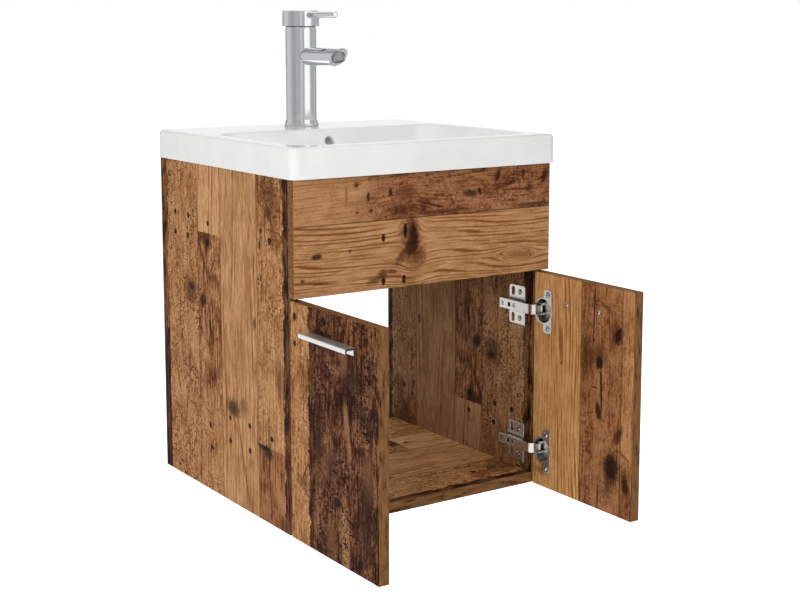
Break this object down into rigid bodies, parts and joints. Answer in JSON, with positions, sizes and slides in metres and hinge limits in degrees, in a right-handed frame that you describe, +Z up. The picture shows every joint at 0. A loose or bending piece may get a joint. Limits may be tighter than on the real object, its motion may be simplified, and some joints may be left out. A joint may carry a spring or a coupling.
{
  "type": "wall-hung vanity unit with basin",
  "caption": "Wall-hung bathroom vanity unit: open-backed wooden cabinet with hinged doors on concealed hinges, inset ceramic basin and single-lever mixer tap.",
  "frame": {"origin": "on the wall plane, midway between the two wall screw holes in the back rail", "axes": "+X right as seen from the front, +Y into the wall, +Z up"},
  "size_m": [0.441, 0.5762, 0.67],
  "materials": {
    "old_wood_board": "chipboard faced with printed reclaimed-plank foil, satin",
    "glazed_ceramic": "glossy white glaze",
    "chromed_brass": "polished chrome plate",
    "anodised_aluminium": "satin anodised",
    "nickel_plated_steel": "bright nickel plate",
    "zinc_plated_steel": "bright zinc plate",
    "raw_brass": "machined",
    "beech_dowel": "fluted beech",
    "pale_silicone": "moulded, matte",
    "black_rubber": "matte",
    "aerator_plastic": "moulded grey",
    "grey_plastic": "moulded grey"
  },
  "bodies": {
    "cabinet": {"left_side_panel": "old_wood_board", "right_side_panel": "old_wood_board", "bottom_panel": "old_wood_board", "front_panel": "old_wood_board", "back_rail": "old_wood_board", "left_lower_hinge_plate": "nickel_plated_steel", "left_lower_hinge_arm": "nickel_plated_steel", "left_upper_hinge_plate": "nickel_plated_steel", "left_upper_hinge_arm": "nickel_plated_steel", "right_lower_hinge_plate": "nickel_plated_steel", "right_lower_hinge_arm": "nickel_plated_steel", "right_upper_hinge_plate": "nickel_plated_steel", "right_upper_hinge_arm": "nickel_plated_steel", "hinge_plate_screws": "zinc_plated_steel", "hinge_arm_screws": "zinc_plated_steel", "cam_discs": "zinc_plated_steel", "cam_bolts": "zinc_plated_steel", "dowels": "beech_dowel", "basin": "glazed_ceramic", "tap_gasket": "pale_silicone", "tap_body": "chromed_brass", "tap_aerator": "aerator_plastic", "tap_cartridge": "aerator_plastic", "cartridge_nut": "raw_brass", "tap_dome_cover": "chromed_brass", "tap_stud": "zinc_plated_steel", "tap_clamp_rubber": "black_rubber", "tap_clamp_plate": "zinc_plated_steel", "tap_stud_nut": "raw_brass", "waste_body": "chromed_brass", "waste_seal": "black_rubber", "waste_nut": "grey_plastic"},
    "left_door": {"left_door": "old_wood_board", "left_handle": "anodised_aluminium", "left_handle_screws": "zinc_plated_steel", "left_lower_hinge_cup": "nickel_plated_steel", "left_upper_hinge_cup": "nickel_plated_steel", "left_cup_screws": "zinc_plated_steel", "left_hinge_pins": "nickel_plated_steel"},
    "right_door": {"right_door": "old_wood_board", "right_handle": "anodised_aluminium", "right_handle_screws": "zinc_plated_steel", "right_lower_hinge_cup": "nickel_plated_steel", "right_upper_hinge_cup": "nickel_plated_steel", "right_cup_screws": "zinc_plated_steel", "right_hinge_pins": "nickel_plated_steel"},
    "tap_stem": {"tap_stem": "raw_brass", "lever_pin": "zinc_plated_steel"},
    "tap_lever": {"lever_cap": "chromed_brass", "lever_rod": "chromed_brass"},
    "waste_plug": {"waste_plug": "chromed_brass"}
  },
  "joints": [
    {"name": "left_door_hinge", "type": "hinge", "parent": "cabinet", "child": "left_door", "pos_m": [-0.197, -0.3802, 0], "axis": [0, 0, 1], "range_deg": [-5, 90]},
    {"name": "right_door_hinge", "type": "hinge", "parent": "cabinet", "child": "right_door", "pos_m": [0.197, -0.3802, 0], "axis": [0, 0, -1], "range_deg": [-5, 90]},
    {"name": "lever_turn", "type": "hinge", "parent": "cabinet", "child": "tap_stem", "pos_m": [0, -0.054, 0.22], "axis": [0, 0, 1], "range_deg": [-45, 45]},
    {"name": "lever_lift", "type": "hinge", "parent": "tap_stem", "child": "tap_lever", "pos_m": [0, -0.054, 0.22], "axis": [-1, 0, 0], "range_deg": [0, 20]},
    {"name": "plug_rise", "type": "slide", "parent": "cabinet", "child": "waste_plug", "axis": [0, 0, 1], "range_m": [0, 0.008]}
  ]
}
